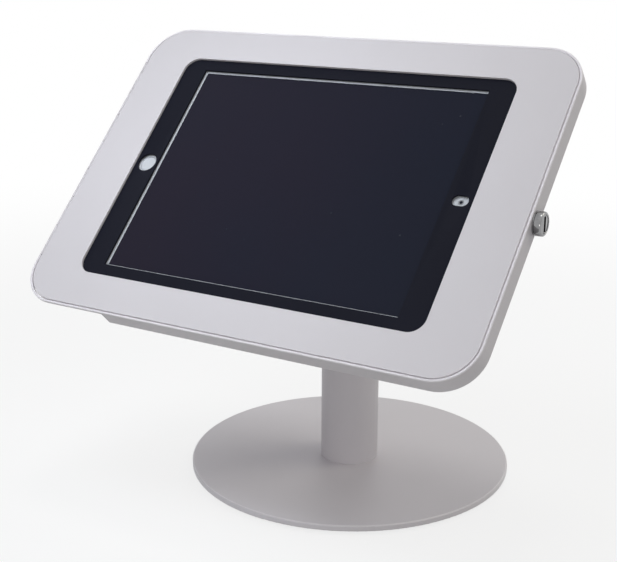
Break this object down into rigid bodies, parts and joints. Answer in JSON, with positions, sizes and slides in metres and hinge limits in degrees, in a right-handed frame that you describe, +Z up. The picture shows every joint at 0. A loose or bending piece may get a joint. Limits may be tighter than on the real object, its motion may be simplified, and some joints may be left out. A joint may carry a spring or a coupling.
{
  "type": "tablet security kiosk stand",
  "caption": "Desk stand that holds a tablet in a tilted, lockable sheet metal case with a hinged faceplate, on a bent round post and a thin round base.",
  "frame": {"origin": "centre of the anti-slip pad's underside, on the post's axis", "axes": "+Z up, +X to the right of a person who faces the screen, and the screen faces -Y and up"},
  "size_m": [0.307, 0.255, 0.2825],
  "materials": {
    "coat": "satin light grey powder coat",
    "steel": "zinc plated steel",
    "chrome": "bright chrome",
    "black_plastic": "satin black sheet",
    "rubber": "matt anti-slip rubber",
    "foam": "closed cell foam",
    "alloy": "bead blasted, anodised",
    "white_glass": "white under gloss glass",
    "display": "switched-off display under gloss glass",
    "lens": "dark lens"
  },
  "bodies": {
    "stand": {"base_pad": "rubber", "base_plate": "coat", "base_screws": "steel", "post_plug": "steel", "post_tube": "coat", "neck_weld": "coat", "neck_flange": "coat", "tray": "coat", "flange_screws": "steel", "hinge_tray_leaf": "coat", "hinge_pin": "steel", "tray_rivets": "coat", "foam_pads": "foam", "corner_blocks": "black_plastic", "lock_body": "chrome", "lock_clip": "steel", "tablet_shell": "alloy", "tablet_front": "white_glass", "display_panel": "display", "camera_lens": "lens"},
    "door": {"faceplate": "coat", "bezel_mask": "black_plastic", "mask_studs": "steel", "mask_nuts": "steel", "hinge_door_leaf": "coat", "strike_tab": "steel"},
    "lock_barrel": {"lock_plug": "chrome", "lock_cam": "steel", "cam_screw": "steel"},
    "home_key": {"home_button": "white_glass"},
    "power_key": {"power_button": "alloy"},
    "volume_key": {"volume_rocker": "alloy"}
  },
  "joints": [
    {"name": "door_hinge", "type": "hinge", "parent": "stand", "child": "door", "pos_m": [-0.1499, -0.07262, 0.20612], "axis": [0, -0.7071, -0.7071], "range_deg": [0, 100]},
    {"name": "lock_turn", "type": "hinge", "parent": "stand", "child": "lock_barrel", "pos_m": [0.151, -0.0705, 0.19834], "axis": [-1, 0, 0], "range_deg": [0, 90]},
    {"name": "home_press", "type": "slide", "parent": "stand", "child": "home_key", "axis": [0, 0.7071, -0.7071], "range_m": [0, 0.0005], "stiffness_N_per_m": 1500},
    {"name": "power_press", "type": "slide", "parent": "stand", "child": "power_key", "axis": [-1, 0, 0], "range_m": [0, 0.0004], "stiffness_N_per_m": 1500},
    {"name": "volume_rock", "type": "hinge", "parent": "stand", "child": "volume_key", "pos_m": [0.07, -0.12831, 0.14365], "axis": [0, -0.7071, 0.7071], "range_deg": [-2, 2], "stiffness_Nm_per_rad": 0.05}
  ]
}
